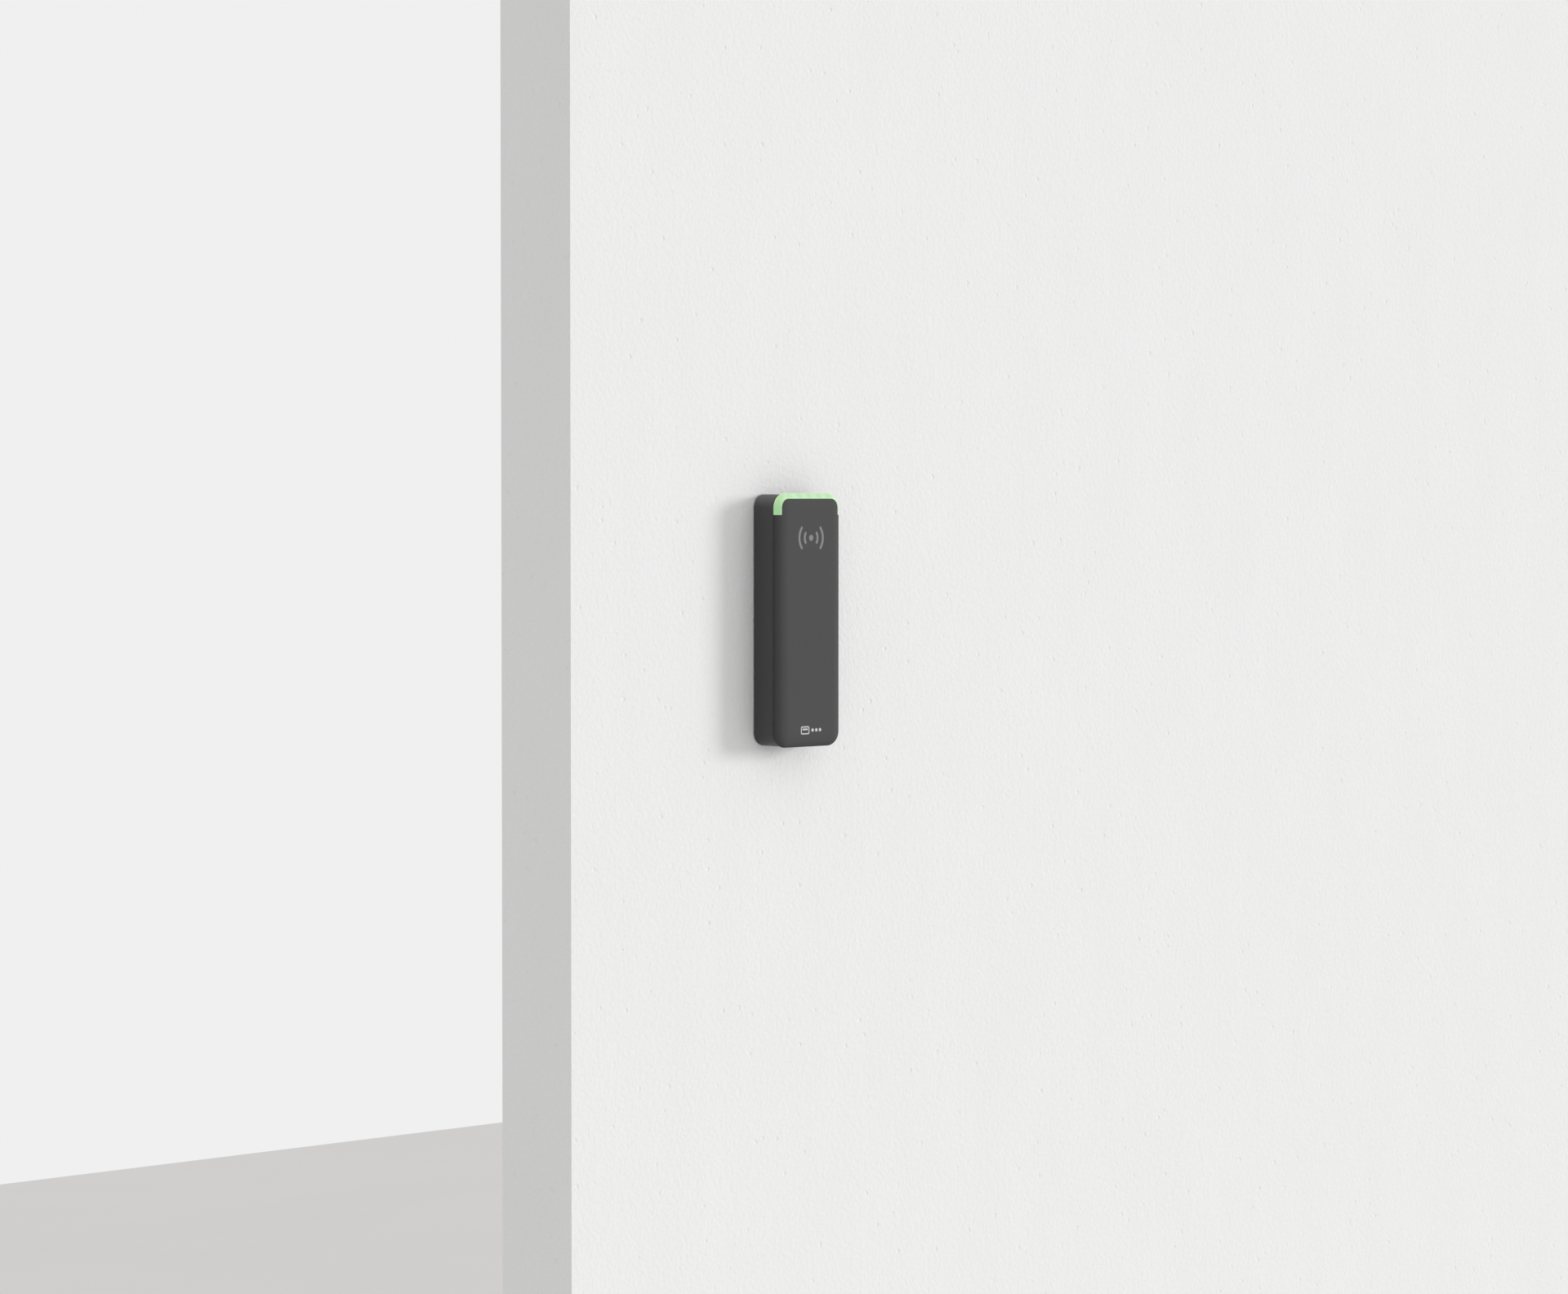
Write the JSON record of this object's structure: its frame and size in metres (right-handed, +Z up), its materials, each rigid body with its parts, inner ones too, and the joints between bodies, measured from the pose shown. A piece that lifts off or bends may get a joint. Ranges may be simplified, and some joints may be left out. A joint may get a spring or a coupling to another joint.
{
  "type": "rfid card reader",
  "caption": "Slim upright wall-mounted contactless card reader with a lit green light guide round its top edge, hung on a hooked plate and locked from below.",
  "frame": {"origin": "on the wall plane behind the middle of the front cover, at the centre of the mounting plate's back", "axes": "+Z up along the reader's height, +X to the right of someone facing the reader, +Y into the wall, so the front faces -Y"},
  "size_m": [0.0426, 0.0179, 0.12],
  "materials": {
    "cover_plastic": "fine textured charcoal moulding",
    "housing_plastic": "fine textured dark grey moulding",
    "plate_plastic": "plain dark grey moulding",
    "green_guide": "milky translucent light guide, lit green",
    "symbol_ink": "mid grey print",
    "glyph_ink": "light grey print",
    "black_rubber": "moulded elastomer",
    "steel_screw": "stainless steel",
    "brass_insert": "turned and knurled",
    "board_laminate": "solder-masked glass laminate",
    "copper_trace": "bare copper track",
    "ferrite_sheet": "flexible ferrite film",
    "ferrite_core": "moulded ferrite",
    "spacer_nylon": "natural nylon",
    "gold_pin": "gold plated",
    "led_lens": "clear epoxy lens",
    "tinned_steel": "tin plated",
    "chip_epoxy": "moulded epoxy",
    "capacitor_ceramic": "sintered ceramic with tinned ends",
    "black_gloss": "smooth moulding",
    "terminal_plastic": "green moulded block",
    "plunger_acetal": "natural acetal"
  },
  "bodies": {
    "wall_plate": {"mounting_plate": "plate_plastic", "lock_insert": "brass_insert"},
    "reader": {"rear_housing": "housing_plastic", "terminal_hatch": "housing_plastic", "cable_grommet": "black_rubber", "hatch_screws": "steel_screw", "housing_seal": "black_rubber", "housing_screws": "steel_screw", "contactless_symbol": "symbol_ink", "card_glyph": "glyph_ink", "front_cover": "cover_plastic", "light_guide": "green_guide", "main_board": "board_laminate", "board_screws": "steel_screw", "antenna_board": "board_laminate", "antenna_coil": "copper_trace", "ferrite_sheet": "ferrite_sheet", "antenna_spacers": "spacer_nylon", "header_pins": "gold_pin", "status_leds": "led_lens", "radio_shield": "tinned_steel", "radio_chip": "chip_epoxy", "controller_chip": "chip_epoxy", "controller_leads": "tinned_steel", "reader_chip": "chip_epoxy", "crystals": "tinned_steel", "chip_capacitors": "capacitor_ceramic", "buzzer": "black_gloss", "power_inductor": "ferrite_core", "voltage_regulator": "chip_epoxy", "terminal_block": "terminal_plastic", "terminal_screws": "tinned_steel", "terminal_clamps": "tinned_steel", "tamper_switch": "black_gloss"},
    "tamper_plunger": {"tamper_plunger": "plunger_acetal", "tamper_button": "plunger_acetal"},
    "lock_screw": {"lock_screw": "steel_screw"}
  },
  "joints": [
    {"name": "reader_unhook", "type": "slide", "parent": "wall_plate", "child": "reader", "axis": [0, 0, 1], "range_m": [0, 0.004]},
    {"name": "tamper_plunger_out", "type": "slide", "parent": "reader", "child": "tamper_plunger", "axis": [0, 1, 0], "range_m": [0, 0.0008]},
    {"name": "lock_screw_withdraw", "type": "slide", "parent": "reader", "child": "lock_screw", "axis": [0, 0, -1], "range_m": [0, 0.0115]}
  ],
  "couplings": [
    {"joint": "tamper_plunger_out", "follows": "reader_unhook", "ratio": 0.2}
  ]
}
